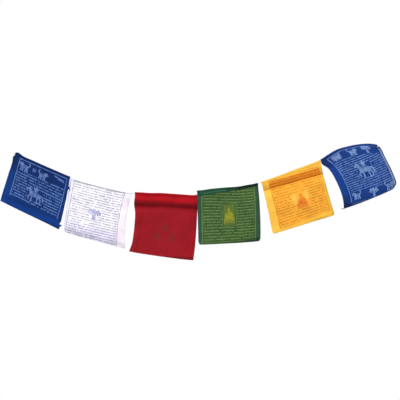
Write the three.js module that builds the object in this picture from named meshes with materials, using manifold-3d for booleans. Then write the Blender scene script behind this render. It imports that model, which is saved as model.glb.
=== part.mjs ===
// A string of six printed cotton prayer flags, hung by its two ends in a shallow curve.
// Millimetres, +Z up, +X along the string, prints facing -Y. The tables share one drawing frame, and
// the whole string is then moved so that its left end is the origin.
import * as THREE from 'three';
import { mergeVertices } from 'three/addons/utils/BufferGeometryUtils.js';
import Module from 'manifold-3d';

// Cord
const CORD_RADIUS = 1.2;
const CORD_SIDES = 8;
const KNOT_RADIUS = 1.5;
const KNOT_STRAND_RADIUS = 0.8;
const KNOT_STEPS = 36;
const KNOT_SIDES = 6;
const KNOT_FROM_END = 2.2;
const CORD_COLOR = 0xece6d6;
const CORD_ROUGHNESS = 0.9;

// Cloth and the hem that is turned over the cord
const CLOTH_THICKNESS = 1.0;
const HEM_CLEARANCE = 0.5;
const FLAP_GAP = 0.6;
const LOOP_RADIUS = CORD_RADIUS + HEM_CLEARANCE + CLOTH_THICKNESS / 2;
const LAYER_OFFSET = (CLOTH_THICKNESS + FLAP_GAP) / 2;
const LOOP_CLOSE = 7;      // below the cord, where flap and sheet have come together
const SQUARE_DROP = 9;     // below the cord, where the cloth has turned to the flag's own lean
const FOLD_START = 14;     // below the cord, where the folds have their full height
const BOW_POWER = 2.5;     // how evenly a bowed edge curves: 2 is a parabola
const LIFT_REACH = 10;     // from a flag's left edge, where a lifted hem has come down to the cord
const CLOTH_ROUGHNESS = 0.95;

// Steps of a flag's mesh: across the flag, and along a section from the flap's edge to the bottom
const STATIONS = [0, 0.06, 0.14, 0.25, 0.375, 0.5, 0.625, 0.75, 0.86, 0.94, 1];
const FLAP_STEPS = [1, 0.64, 0.3, 0.1];
const LOOP_ANGLES = [180, 135, 90, 45, 0];
const LOOP_DROPS = [1.8, 4.2];
const SHEET_STEPS = 13;
const SHEET_STEP_POWER = 1.2;
const SLOPE_REACH = 0.5;     // to each side of a point on the cord, for its direction there
const MERGE_DISTANCE = 1e-4;

// The cord's route, chosen by hand: x and z of points along it, at y = 0
const STRING_ROUTE = [
  [-3, -8.9], [2, -7.6], [8, -6.4], [14, -8.8], [24, -16.8], [53.7, -30.2], [92, -47.2],
  [136, -66.2], [161.8, -76.8], [191.7, -86.6], [235, -98.2], [278.7, -109.2], [313.5, -116.6],
  [341, -120.8], [368.6, -122.4], [394.7, -124], [423.7, -124.1], [458.5, -126.3], [496.2, -128.9],
  [519.4, -130.2], [529.8, -128], [536, -122.4], [543, -117.6], [557, -113.9], [577.4, -111.2],
  [612.2, -108.1], [647, -105.7], [673, -101.2], [702, -95.6], [765.9, -74], [815.2, -55.4],
  [864.5, -37.4], [887.7, -27.4], [909.7, -12.9], [934.7, 1.6], [959.3, 9.4], [992, 16.4],
  [1025.2, 19.2], [1046, 17.2], [1059, 14.2],
];

// One row a flag: where it starts and ends along X on the cord, its bottom corners (x, z), how far
// its left, right and bottom edges bow outward, the depth of its hem at the left and right ends,
// which side the hem is turned to, how far the hem's fold stands above the cord at the left edge, and
// its folds.
// One row a fold: a soft ridge from (u, v) to (u, v), u across the flag and v down it, with its
// half-width and its rise toward the front (a trough where that is negative).
// One row a corner that is drawn out of place: (u, v), the shift (x, z) and how far it reaches.
const FLAGS = [
  {
    name: 'flag_blue_left', color: 0x163f86, start: 2.5, end: 161.5,
    bottomLeft: [-41.5, -144.8], bottomRight: [129, -227.4], bow: { left: 1.2, right: 2.3, bottom: 0 },
    hem: [11, 11], hemSide: 'back', lift: 0,
    folds: [
      { from: [0, 0.1], to: [0, 1], width: 16, rise: -4 },
      { from: [1, 0.12], to: [1, 0.95], width: 14, rise: 3 },
      { from: [0.02, 0.02], to: [0.45, 0.55], width: 16, rise: 3 },
      { from: [0.62, 0.45], to: [0.7, 1], width: 24, rise: -4 },
      { from: [0.25, 0.85], to: [0.35, 1], width: 24, rise: 3 },
    ],
    corners: [{ at: [0, 0.07], shift: [-3, 0], reach: 12 }],
  },
  {
    name: 'flag_white', color: 0xf1eef5, start: 162.4, end: 341,
    bottomLeft: [141.8, -233.8], bottomRight: [320.5, -283.4], bow: { left: 0, right: -7.5, bottom: 1 },
    hem: [11, 11], hemSide: 'back', lift: 0,
    folds: [
      { from: [0, 1], to: [1, 1], width: 10, rise: -6 },
      { from: [0, 0.15], to: [0, 0.9], width: 12, rise: -3 },
      { from: [0.9, 0.3], to: [0.88, 1], width: 10, rise: -3 },
      { from: [0.35, 0.35], to: [0.3, 0.9], width: 30, rise: 4 },
      { from: [0.7, 0.25], to: [0.62, 0.8], width: 26, rise: -2.5 },
    ],
    corners: [],
  },
  {
    name: 'flag_red', color: 0xa01a24, start: 349.2, end: 529.3,
    bottomLeft: [335.5, -292], bottomRight: [518.5, -317], bow: { left: -6.5, right: 4, bottom: 2 },
    hem: [11, 11], hemSide: 'back', lift: 0,
    folds: [
      { from: [0, 0.115], to: [1, 0.105], width: 11, rise: 9 },
      { from: [0, 0.245], to: [1, 0.235], width: 10, rise: -3 },
      { from: [0.05, 0.35], to: [0.04, 1], width: 11, rise: 4 },
      { from: [0.45, 0.55], to: [0.4, 1], width: 28, rise: -4 },
      { from: [0.82, 0.45], to: [0.88, 1], width: 22, rise: 4 },
      { from: [1, 0.1], to: [1, 0.9], width: 12, rise: -5 },
    ],
    corners: [
      { at: [0, 1], shift: [-3, 1], reach: 16 },
      { at: [0, 0.19], shift: [-4, 0], reach: 18 },
    ],
  },
  {
    name: 'flag_green', color: 0x2f5f3a, start: 530.3, end: 706,
    bottomLeft: [533.6, -272], bottomRight: [713.4, -261.5], bow: { left: 0, right: 3, bottom: 1.2 },
    hem: [14, 3.5], hemSide: 'front', lift: 9,
    folds: [
      { from: [0, 0.12], to: [0.02, 1], width: 12, rise: 3 },
      { from: [1, 0.12], to: [0.98, 1], width: 14, rise: -4 },
      { from: [0.3, 0.3], to: [0.36, 1], width: 26, rise: -3 },
      { from: [0.66, 0.35], to: [0.62, 1], width: 30, rise: 4 },
    ],
    corners: [{ at: [0, 1], shift: [4, 1.5], reach: 7 }],
  },
  {
    name: 'flag_yellow', color: 0xf2ae3a, start: 716.6, end: 887,
    bottomLeft: [749.2, -241.2], bottomRight: [929.8, -185.4], bow: { left: -1.5, right: -2.3, bottom: 0 },
    hem: [11, 11], hemSide: 'back', lift: 0,
    folds: [
      { from: [0, 0.17], to: [1, 0.25], width: 15, rise: -7 },
      { from: [0, 0.3], to: [0.02, 1], width: 12, rise: -3 },
      { from: [0.2, 0.5], to: [0.85, 0.55], width: 38, rise: 4 },
      { from: [0.55, 0.8], to: [0.6, 1], width: 24, rise: -3 },
      { from: [1, 0.3], to: [1, 0.95], width: 12, rise: -3 },
    ],
    corners: [],
  },
  {
    name: 'flag_blue_right', color: 0x23509a, start: 888.2, end: 1052,
    bottomLeft: [955, -167.8], bottomRight: [1112.5, -104], bow: { left: -14.5, right: 6.4, bottom: 3 },
    hem: [12, 11], hemSide: 'back', lift: 0,
    folds: [
      { from: [1, 0.12], to: [1, 1], width: 15, rise: -9 },
      { from: [0.35, 1], to: [1, 1], width: 11, rise: -5 },
      { from: [0.55, 0.42], to: [0.62, 0.6], width: 52, rise: 8 },
      { from: [0, 0.35], to: [0, 0.85], width: 18, rise: 4 },
      { from: [0.14, 0.15], to: [0.2, 0.95], width: 14, rise: -4 },
    ],
    corners: [
      { at: [1, 1], shift: [-4, 5], reach: 9 },
      { at: [1, 0.13], shift: [3.2, 1.4], reach: 18 },
      { at: [0, 0.07], shift: [-4, -4], reach: 12 },
    ],
  },
];

const lerp = THREE.MathUtils.lerp;
const smoothstep = THREE.MathUtils.smoothstep;

// The cord's height at x, on a smooth curve through the route's points, and its direction there.
function routeSlope(index) {
  const before = STRING_ROUTE[Math.max(index - 1, 0)];
  const after = STRING_ROUTE[Math.min(index + 1, STRING_ROUTE.length - 1)];
  return (after[1] - before[1]) / (after[0] - before[0]);
}

function cordHeight(x) {
  const last = STRING_ROUTE.length - 2;
  const found = STRING_ROUTE.findIndex(([routeX]) => routeX > x) - 1;
  const index = found < 0 ? last : found;
  const [x0, z0] = STRING_ROUTE[index];
  const [x1, z1] = STRING_ROUTE[index + 1];
  const span = x1 - x0;
  const t = (x - x0) / span;
  const rise0 = routeSlope(index) * span;
  const rise1 = routeSlope(index + 1) * span;
  const ease = t * t * (3 - 2 * t);
  return lerp(z0, z1, ease) + rise0 * t * (1 - t) * (1 - t) - rise1 * t * t * (1 - t);
}

function cordPoint(x) {
  return new THREE.Vector3(x, 0, cordHeight(x));
}

function cordTangent(x) {
  const first = Math.max(x - SLOPE_REACH, STRING_ROUTE[0][0]);
  const second = Math.min(x + SLOPE_REACH, STRING_ROUTE.at(-1)[0]);
  return cordPoint(second).sub(cordPoint(first)).normalize();
}

// A flag's plane shape: edges that bow between its corners, filled in between.
function bowShape(t) {
  return 1 - Math.abs(2 * t - 1) ** BOW_POWER;
}

function bowedEdge(start, end, t, bow, outward) {
  const point = start.clone().lerp(end, t);
  return point.addScaledVector(outward, bow * bowShape(t));
}

function flagShape(flag) {
  const topLeft = cordPoint(flag.start);
  const topRight = cordPoint(flag.end);
  const bottomLeft = new THREE.Vector3(flag.bottomLeft[0], 0, flag.bottomLeft[1]);
  const bottomRight = new THREE.Vector3(flag.bottomRight[0], 0, flag.bottomRight[1]);
  const across = bottomRight.clone().sub(bottomLeft).normalize();
  const back = across.clone().negate();
  const down = new THREE.Vector3(across.z, 0, -across.x);
  const width = topRight.distanceTo(topLeft);
  const leftLength = bottomLeft.distanceTo(topLeft);
  const rightLength = bottomRight.distanceTo(topRight);

  function dropLength(u) {
    return lerp(leftLength, rightLength, u);
  }

  function planePoint(u, v) {
    const top = cordPoint(lerp(flag.start, flag.end, u));
    const bottom = bowedEdge(bottomLeft, bottomRight, u, flag.bow.bottom, down);
    const left = bowedEdge(topLeft, bottomLeft, v, flag.bow.left, back);
    const right = bowedEdge(topRight, bottomRight, v, flag.bow.right, across);
    const point = top.multiplyScalar(1 - v).addScaledVector(bottom, v);
    point.addScaledVector(left, 1 - u).addScaledVector(right, u);
    point.addScaledVector(topLeft, -(1 - u) * (1 - v)).addScaledVector(topRight, -u * (1 - v));
    point.addScaledVector(bottomLeft, -(1 - u) * v).addScaledVector(bottomRight, -u * v);
    for (const corner of flag.corners) {
      const pull = Math.exp(-((flatDistance(u, v, corner.at, corner.at) / corner.reach) ** 2));
      point.x += corner.shift[0] * pull;
      point.z += corner.shift[1] * pull;
    }
    return point;
  }

  // Distance in millimetres of (u, v) from a line between two such places on the flat cloth.
  function flatDistance(u, v, from, to) {
    const length = (leftLength + rightLength) / 2;
    const place = new THREE.Vector2(u * width, v * length);
    const start = new THREE.Vector2(from[0] * width, from[1] * length);
    const line = new THREE.Vector2(to[0] * width, to[1] * length).sub(start);
    const along = place.clone().sub(start).dot(line) / Math.max(line.lengthSq(), Number.EPSILON);
    return place.distanceTo(start.addScaledVector(line, THREE.MathUtils.clamp(along, 0, 1)));
  }

  function foldRise(u, v) {
    let rise = 0;
    for (const fold of flag.folds) {
      const reach = flatDistance(u, v, fold.from, fold.to) / fold.width;
      rise += fold.rise * Math.exp(-reach * reach);
    }
    return rise;
  }

  return { dropLength, planePoint, foldRise };
}

// One section of a flag: flap, loop over the cord and sheet, each point given as the distance below
// the cord (negative above it) and the layer's offset, positive on the sheet's side. The hem's depth is
// measured from its fold, which a lift raises above the cord.
function layerOffset(drop) {
  return lerp(LOOP_RADIUS, LAYER_OFFSET, smoothstep(drop, 0, LOOP_CLOSE));
}

function sectionPoints(hemDepth, lift, dropLength) {
  const points = [];
  for (const step of FLAP_STEPS) {
    const drop = hemDepth * step - lift;
    points.push({ drop, offset: -layerOffset(drop) });
  }
  for (const degrees of LOOP_ANGLES) {
    const angle = THREE.MathUtils.degToRad(degrees);
    points.push({ drop: -lift - LOOP_RADIUS * Math.sin(angle), offset: LOOP_RADIUS * Math.cos(angle) });
  }
  for (const drop of LOOP_DROPS) {
    points.push({ drop, offset: layerOffset(drop) });
  }
  for (let step = 0; step <= SHEET_STEPS; step += 1) {
    const share = (step / SHEET_STEPS) ** SHEET_STEP_POWER;
    points.push({ drop: lerp(LOOP_CLOSE, dropLength, share), offset: LAYER_OFFSET });
  }
  return points;
}

// The middle surface of a flag, a row of points for each station along the cord.
function flagSurface(flag) {
  const shape = flagShape(flag);
  const sheetSide = flag.hemSide === 'back' ? 1 : -1;
  return STATIONS.map((u) => {
    const x = lerp(flag.start, flag.end, u);
    const tangent = cordTangent(x);
    const square = new THREE.Vector3(tangent.z, 0, -tangent.x);
    const dropLength = shape.dropLength(u);
    const lift = flag.lift * Math.exp(-(((x - flag.start) / LIFT_REACH) ** 2));
    return sectionPoints(lerp(flag.hem[0], flag.hem[1], u), lift, dropLength).map(({ drop, offset }) => {
      const below = Math.max(drop, 0);
      const v = below / dropLength;
      const point = cordPoint(x).addScaledVector(square, drop);
      point.lerp(shape.planePoint(u, v), smoothstep(below, 0, SQUARE_DROP));
      point.y = -sheetSide * offset - shape.foldRise(u, v) * smoothstep(below, 0, FOLD_START);
      return point;
    });
  });
}

// A closed sheet of the cloth's thickness around a grid of points.
function sheetGeometry(rows, thickness) {
  const rowCount = rows.length;
  const columnCount = rows[0].length;
  const positions = [];
  const normalAt = (row, column) => {
    const before = rows[Math.max(row - 1, 0)][column];
    const after = rows[Math.min(row + 1, rowCount - 1)][column];
    const above = rows[row][Math.max(column - 1, 0)];
    const below = rows[row][Math.min(column + 1, columnCount - 1)];
    return after.clone().sub(before).cross(below.clone().sub(above)).normalize();
  };
  for (const side of [0.5, -0.5]) {
    rows.forEach((points, row) => {
      points.forEach((point, column) => {
        positions.push(...point.clone().addScaledVector(normalAt(row, column), side * thickness).toArray());
      });
    });
  }
  const layer = rowCount * columnCount;
  const indices = [];
  const rim = (from, to) => indices.push(to, from, from + layer, to, from + layer, to + layer);
  for (let row = 0; row < rowCount - 1; row += 1) {
    for (let column = 0; column < columnCount - 1; column += 1) {
      const a = row * columnCount + column;
      const b = a + columnCount;
      indices.push(a, b, b + 1, a, b + 1, a + 1);
      indices.push(a + layer, b + 1 + layer, b + layer, a + layer, a + 1 + layer, b + 1 + layer);
    }
    rim(row * columnCount, (row + 1) * columnCount);
    rim((row + 2) * columnCount - 1, (row + 1) * columnCount - 1);
  }
  const lastRow = (rowCount - 1) * columnCount;
  for (let column = 0; column < columnCount - 1; column += 1) {
    rim(lastRow + column, lastRow + column + 1);
    rim(column + 1, column);
  }
  const geometry = new THREE.BufferGeometry();
  geometry.setAttribute('position', new THREE.Float32BufferAttribute(positions, 3));
  geometry.setIndex(indices);
  return geometry;
}

// The cord steps at the flags' own stations, so that cord and hems bend together.
class StationCurve extends THREE.Curve {
  constructor(stations) {
    super();
    this.stations = stations;
  }

  station(share) {
    return this.stations[Math.round(share * (this.stations.length - 1))];
  }

  getPointAt(share) {
    return cordPoint(this.station(share));
  }

  getTangentAt(share) {
    return cordTangent(this.station(share));
  }
}

function cordStations() {
  const stations = FLAGS.flatMap((flag) => STATIONS.map((u) => lerp(flag.start, flag.end, u)));
  const [first, last] = [STRING_ROUTE[0][0], STRING_ROUTE.at(-1)[0]];
  return [first, (first + FLAGS[0].start) / 2, ...stations, (FLAGS.at(-1).end + last) / 2, last];
}

function cordTube() {
  const stations = cordStations();
  const corners = [];
  for (let side = 0; side < CORD_SIDES; side += 1) {
    const angle = (2 * Math.PI * side) / CORD_SIDES;
    corners.push(new THREE.Vector2(CORD_RADIUS * Math.cos(angle), CORD_RADIUS * Math.sin(angle)));
  }
  return new THREE.ExtrudeGeometry(new THREE.Shape(corners), {
    steps: stations.length - 1,
    extrudePath: new StationCurve(stations),
  });
}

function knotGeometry(x) {
  const knot = new THREE.TorusKnotGeometry(KNOT_RADIUS, KNOT_STRAND_RADIUS, KNOT_STEPS, KNOT_SIDES);
  const turn = new THREE.Quaternion().setFromUnitVectors(new THREE.Vector3(0, 0, 1), cordTangent(x));
  knot.applyQuaternion(turn);
  const place = cordPoint(x);
  return knot.translate(place.x, place.y, place.z);
}

const wasm = await Module();
wasm.setup();

function toManifold(geometry) {
  const bare = geometry.clone();
  bare.deleteAttribute('normal');
  bare.deleteAttribute('uv');
  const merged = mergeVertices(bare, MERGE_DISTANCE);
  return new wasm.Manifold(new wasm.Mesh({
    numProp: 3,
    vertProperties: Float32Array.from(merged.attributes.position.array),
    triVerts: Uint32Array.from(merged.index.array),
  }));
}

function fromManifold(solid) {
  const mesh = solid.getMesh();
  const geometry = new THREE.BufferGeometry();
  geometry.setAttribute('position', new THREE.Float32BufferAttribute(mesh.vertProperties, mesh.numProp));
  geometry.setIndex(Array.from(mesh.triVerts));
  return geometry;
}

function cordGeometry() {
  const leftKnot = toManifold(knotGeometry(STRING_ROUTE[0][0] + KNOT_FROM_END));
  const rightKnot = toManifold(knotGeometry(STRING_ROUTE.at(-1)[0] - KNOT_FROM_END));
  return fromManifold(toManifold(cordTube()).add(leftKnot).add(rightKnot));
}

function makeMesh(name, geometry, color, roughness) {
  geometry.computeVertexNormals();
  const material = new THREE.MeshStandardMaterial({ color, roughness, metalness: 0 });
  const mesh = new THREE.Mesh(geometry, material);
  mesh.name = name;
  return mesh;
}

const flagString = new THREE.Group();
flagString.add(makeMesh('cord', cordGeometry(), CORD_COLOR, CORD_ROUGHNESS));
for (const flag of FLAGS) {
  const sheet = sheetGeometry(flagSurface(flag), CLOTH_THICKNESS);
  flagString.add(makeMesh(flag.name, sheet, flag.color, CLOTH_ROUGHNESS));
}
flagString.position.set(-STRING_ROUTE[0][0], 0, -STRING_ROUTE[0][1]);

export default flagString;
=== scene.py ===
"""A string of six printed cotton prayer flags, dressed in thin cloth over its solids.

Metres, in the frame of the solids: +Z up, +X along the string, the prints facing -Y.
Shapes are worked out in millimetres, as a maker would measure them, and scaled once.
"""
import math
from collections import namedtuple

import bpy
import numpy as np
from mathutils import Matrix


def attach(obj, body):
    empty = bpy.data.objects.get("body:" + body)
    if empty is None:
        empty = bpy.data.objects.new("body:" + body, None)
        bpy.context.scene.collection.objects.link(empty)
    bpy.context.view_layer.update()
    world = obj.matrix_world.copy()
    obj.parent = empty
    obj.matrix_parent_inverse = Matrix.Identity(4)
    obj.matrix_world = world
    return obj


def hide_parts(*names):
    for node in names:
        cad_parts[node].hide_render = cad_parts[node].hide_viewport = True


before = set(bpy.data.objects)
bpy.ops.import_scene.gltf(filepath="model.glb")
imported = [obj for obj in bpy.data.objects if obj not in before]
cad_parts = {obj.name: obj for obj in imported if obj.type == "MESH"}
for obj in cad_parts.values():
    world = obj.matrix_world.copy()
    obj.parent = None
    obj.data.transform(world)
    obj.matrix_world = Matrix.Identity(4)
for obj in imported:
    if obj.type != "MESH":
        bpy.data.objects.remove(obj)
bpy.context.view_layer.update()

MM = 0.001

# View: the photograph's frame is square and looks straight at the flags
VIEW_WIDTH = 1.160
VIEW_CENTRE = (0.5412, 0.0, -0.1332)
CAMERA_DISTANCE = 4.5

# Light: an even white surround and a soft key from the upper left
FILL_LIGHT = 0.36
KEY_LIGHT = 3.1
KEY_SPREAD = math.radians(30)
KEY_TURN = (math.radians(42), 0, math.radians(-12))

# A floor well below the string, in metres
FLOOR_X = (-1.0, 2.1)
FLOOR_DEPTH = 1.4
FLOOR_LEVEL = -0.95
FLOOR_COLOUR = (0.86, 0.86, 0.86, 1)

# Cord
CORD_RADIUS = 1.2
PLY_COUNT = 3
PLY_RADIUS = 0.60
PLY_OFFSET = 0.62
PLY_PITCH = 7.0
PLY_STEP = 0.8
PLY_SIDES = 6
END_SPLAY = 0.25
TAIL_LENGTH = 3.0
SLOPE_REACH = 0.5
KNOT_RADIUS = 1.5
KNOT_FROM_END = 2.2
KNOT_TURNS = 2
KNOT_STEPS = 90
KNOT_WEAVE = 1.5
KNOT_PLY_PITCH = 0.7 * PLY_PITCH
KNOT_PLY_OFFSET = 0.55 * PLY_OFFSET
KNOT_PLY_RADIUS = 0.72 * PLY_RADIUS

# Cloth and the hem that is turned over the cord
CLOTH_THICKNESS = 0.45
LOOP_RADIUS = CORD_RADIUS + 0.8 + CLOTH_THICKNESS / 2
LAYER_OFFSET = 0.40
LOOP_CLOSE = 7.0
SQUARE_DROP = 9.0
LIFT_REACH = 10.0
LIFT_UPRIGHT = 0.85
FOLD_START = 14.0
BOW_POWER = 2.5

# Unevenness of the cloth: the height and the length of its waves
Ripple = namedtuple("Ripple", "height wave")
BROAD_RIPPLE = Ripple(0.45, 42)
FINE_RIPPLE = Ripple(0.16, 15)
EDGE_RIPPLE = Ripple(0.9, 34)
EDGE_RIPPLE_REACH = 3.5
RIPPLE_WAVES = 7
WAVE_SPREAD = (0.7, 1.5)

# Loose thread ends along the raw edges: how many an edge, how far they reach, lean and droop
FRAY_COUNT = 16
FRAY_FIRST_ROW = 20
FRAY_REACH = (0.8, 2.6)
FRAY_LEAN = 1.2
FRAY_DROOP = (0.1, 0.7)
FRAY_SWAY = 0.8
FRAY_ROOT = 0.6
FRAY_RADIUS = 0.11

# Loose threads at a flag's bottom left corner: how far each reaches in x and in z
CORNER_THREADS = {"blue_right": (-8.0, -0.6)}
CORNER_THREAD_RADIUS = 1.2

# Steps of a flag's mesh
ACROSS_STEPS = 144
FLAP_ROWS = 10
LOOP_ROWS = 12
SHEET_ROWS = 132
SHEET_STEP_POWER = 1.1

# Sewing along the hem
STITCH_ABOVE_EDGE = 2.4
STITCH_LENGTH = 2.6
STITCH_PITCH = 3.6
STITCH_RADIUS = 0.22
PUCKER_HEIGHT = 0.28
PUCKER_PITCH = 7.2
PUCKER_REACH = 6.0
PUCKER_DRIFT = Ripple(2, 60)
THREAD_SHADE = 0.8
FIBRE_SHADE = 0.72

# The cord's route: x and z of points along it in the drawing's own frame, at y = 0. The whole string is
# moved so that the route's first point is the origin.
STRING_ROUTE = np.array([
    (-3, -8.9), (2, -7.6), (8, -6.4), (14, -8.8), (24, -16.8), (53.7, -30.2), (92, -47.2), (136, -66.2),
    (161.8, -76.8), (191.7, -86.6), (235, -98.2), (278.7, -109.2), (313.5, -116.6), (341, -120.8),
    (368.6, -122.4), (394.7, -124), (423.7, -124.1), (458.5, -126.3), (496.2, -128.9), (519.4, -130.2),
    (529.8, -128), (536, -122.4), (543, -117.6), (557, -113.9), (577.4, -111.2), (612.2, -108.1),
    (647, -105.7), (673, -101.2), (702, -95.6), (765.9, -74), (815.2, -55.4), (864.5, -37.4),
    (887.7, -27.4), (909.7, -12.9), (934.7, 1.6), (959.3, 9.4), (992, 16.4), (1025.2, 19.2),
    (1046, 17.2), (1059, 14.2),
])
ORIGIN = np.array([STRING_ROUTE[0, 0], 0, STRING_ROUTE[0, 1]])

# A fold is a soft ridge between two places on the flag, u across it and v down it, with its
# half-width and its rise toward the front in millimetres. A pull moves one place in the plane. A lift
# raises the hem's fold above the cord at the flag's left edge.
Fold = namedtuple("Fold", "u0 v0 u1 v1 width rise")
Pull = namedtuple("Pull", "u v dx dz reach")
Flag = namedtuple(
    "Flag", "name start end bottom_left bottom_right bow hem hem_side lift folds creases pulls"
)
BACK, FRONT = 1, -1


def fold_rows(*rows):
    return [Fold(*row) for row in rows]


FLAGS = [
    Flag(
        "blue_left", 2.5, 161.5, (-41.5, -144.8), (129, -227.4), (1.2, 2.3, 0), (11, 11), BACK, 0,
        folds=fold_rows(
            (0, 0.1, 0, 1, 16, -4), (1, 0.12, 1, 0.95, 14, 3), (0.02, 0.02, 0.45, 0.55, 16, 3),
            (0.62, 0.45, 0.7, 1, 24, -4), (0.25, 0.85, 0.35, 1, 24, 3),
        ),
        creases=fold_rows(
            (0.03, 0.06, 0.2, 0.3, 4, 1.2), (0.1, 0.05, 0.36, 0.2, 5, -1.0),
            (0.88, 0.55, 0.97, 0.95, 5, 1.0), (0.4, 0.93, 0.8, 0.96, 6, -0.8),
            (0.02, 0.86, 0.2, 0.97, 5, 0.9), (0.9, 0.07, 0.99, 0.3, 4, -0.9),
        ),
        pulls=[
            Pull(0, 0.07, -3, 0, 12), Pull(1, 0.2, 5, 0.5, 3.2), Pull(1, 0.93, 6, 1.5, 3.0),
            Pull(1, 0.89, -2.5, 0, 3.5),
        ],
    ),
    Flag(
        "white", 162.4, 341, (141.8, -233.8), (320.5, -283.4), (0, -7.5, 1), (11, 11), BACK, 0,
        folds=fold_rows(
            (0, 1, 1, 1, 10, -6), (0, 0.15, 0, 0.9, 12, -3), (0.9, 0.3, 0.88, 1, 10, -3),
            (0.35, 0.35, 0.3, 0.9, 30, 4), (0.7, 0.25, 0.62, 0.8, 26, -2.5),
        ),
        creases=fold_rows(
            (0.94, 0.5, 0.97, 0.62, 6, -1.0), (0.92, 0.75, 0.96, 0.98, 5, 1.0),
            (0.04, 0.1, 0.03, 0.6, 4, 0.8), (0.1, 0.88, 0.7, 0.93, 6, 0.8),
            (0.5, 0.06, 0.8, 0.16, 6, -0.7),
        ),
        pulls=[Pull(0, 1, 3, 2, 5)],
    ),
    Flag(
        "red", 349.2, 529.3, (335.5, -292), (518.5, -317), (-6.5, 4, 2), (11, 11), BACK, 0,
        folds=fold_rows(
            (0, 0.115, 1, 0.105, 11, 9), (0, 0.245, 1, 0.235, 10, -3), (0.05, 0.35, 0.04, 1, 11, 4),
            (0.45, 0.55, 0.4, 1, 28, -4), (0.82, 0.45, 0.88, 1, 22, 4), (1, 0.1, 1, 0.9, 12, -5),
        ),
        creases=fold_rows(
            (0.02, 0.2, 0.98, 0.19, 4, -1.6), (0.05, 0.09, 0.6, 0.1, 5, 1.0),
            (0.2, 0.05, 0.8, 0.055, 4, -0.8), (0.03, 0.9, 0.15, 0.99, 5, 1.2),
            (0.55, 0.85, 0.6, 1, 6, 0.8), (0.97, 0.3, 0.95, 0.9, 4, 1.0), (0.12, 0.4, 0.1, 0.8, 6, -0.8),
        ),
        pulls=[Pull(0, 1, -3, 1, 16), Pull(0, 0.19, -4, 0, 18), Pull(1, 0.1, 1.1, 0, 30)],
    ),
    Flag(
        "green", 530.3, 706, (533.6, -272), (713.4, -261.5), (0, 3, 1.2), (14, 3.5), FRONT, 9,
        folds=fold_rows(
            (0, 0.12, 0.02, 1, 12, 3), (1, 0.12, 0.98, 1, 14, -4), (0.3, 0.3, 0.36, 1, 26, -3),
            (0.66, 0.35, 0.62, 1, 30, 4),
        ),
        creases=fold_rows(
            (0.05, 0.3, 0.04, 0.95, 4, -1.0), (0.96, 0.25, 0.95, 0.95, 4, 1.0),
            (0.1, 0.03, 0.7, 0.03, 4, 1.0), (0.15, 0.7, 0.4, 0.72, 6, 0.6), (0.6, 0.55, 0.9, 0.5, 6, -0.6),
        ),
        pulls=[Pull(0, 1, 3, 1, 6), Pull(1, 1, -1.5, 2, 4), Pull(0, 0.12, -1.2, 0, 25)],
    ),
    Flag(
        "yellow", 716.6, 887, (749.2, -241.2), (929.8, -185.4), (-1.5, -2.3, 0), (11, 11), BACK, 0,
        folds=fold_rows(
            (0, 0.17, 1, 0.25, 15, -7), (0, 0.3, 0.02, 1, 12, -3), (0.2, 0.5, 0.85, 0.55, 38, 4),
            (0.55, 0.8, 0.6, 1, 24, -3), (1, 0.3, 1, 0.95, 12, -3),
        ),
        creases=fold_rows(
            (0, 0.155, 1, 0.235, 3, -1.8), (0.05, 0.07, 0.95, 0.1, 6, 1.0),
            (0.05, 0.35, 0.06, 0.95, 5, 0.9), (0.94, 0.4, 0.96, 0.9, 4, -0.9),
            (0.3, 0.9, 0.6, 0.88, 6, 0.6),
        ),
        pulls=[Pull(0, 1, 2, 1.5, 4), Pull(1, 1, -2, 1, 4)],
    ),
    Flag(
        "blue_right", 888.2, 1052, (955, -167.8), (1112.5, -104), (-14.5, 6.4, 3), (12, 11), BACK, 0,
        folds=fold_rows(
            (1, 0.12, 1, 1, 15, -9), (0.35, 1, 1, 1, 11, -5), (0.55, 0.42, 0.62, 0.6, 52, 8),
            (0, 0.35, 0, 0.85, 18, 4), (0.14, 0.15, 0.2, 0.95, 14, -4),
        ),
        creases=fold_rows(
            (0.02, 0.09, 0.15, 0.2, 4, 1.4), (0.05, 0.25, 0.1, 0.7, 6, 1.0),
            (0.1, 0.1, 0.3, 0.06, 5, -1.0), (0.9, 0.2, 0.94, 0.8, 6, 0.9), (0.3, 0.97, 0.7, 0.96, 4, 0.7),
        ),
        pulls=[
            Pull(1, 1, -4, 5, 9), Pull(1, 0.13, 3.2, 1.4, 18), Pull(0, 0.07, -4, -4, 12),
            Pull(1, 0.045, 1.8, 0.8, 5),
        ],
    ),
]


# The cord's line

def cord_height(x):
    """Height of the cord at x, on a smooth curve through the route's points."""
    route_x, route_z = STRING_ROUTE.T
    order = np.arange(len(route_x))
    before = np.maximum(order - 1, 0)
    after = np.minimum(order + 1, len(route_x) - 1)
    slope = (route_z[after] - route_z[before]) / (route_x[after] - route_x[before])
    index = np.clip(np.searchsorted(route_x, x, side="right") - 1, 0, len(route_x) - 2)
    span = route_x[index + 1] - route_x[index]
    t = (x - route_x[index]) / span
    ease = t * t * (3 - 2 * t)
    height = route_z[index] * (1 - ease) + route_z[index + 1] * ease
    height += slope[index] * span * t * (1 - t) ** 2
    return height - slope[index + 1] * span * t * t * (1 - t)


def distance_along(line):
    return np.concatenate([[0], np.cumsum(np.linalg.norm(np.diff(line, axis=0), axis=1))])


def cord_slope(x):
    return (cord_height(x + SLOPE_REACH) - cord_height(x - SLOPE_REACH)) / (2 * SLOPE_REACH)


def cord_line(step):
    """Points along the whole cord, about a step apart."""
    dense_x = np.linspace(STRING_ROUTE[0, 0], STRING_ROUTE[-1, 0], 4000)
    dense = np.stack([dense_x, np.zeros_like(dense_x), cord_height(dense_x)], axis=1)
    along = distance_along(dense)
    wanted = np.linspace(0, along[-1], int(along[-1] / step) + 1)
    return np.stack([np.interp(wanted, along, dense[:, axis]) for axis in range(3)], axis=1)


# A flag's surface

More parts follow.
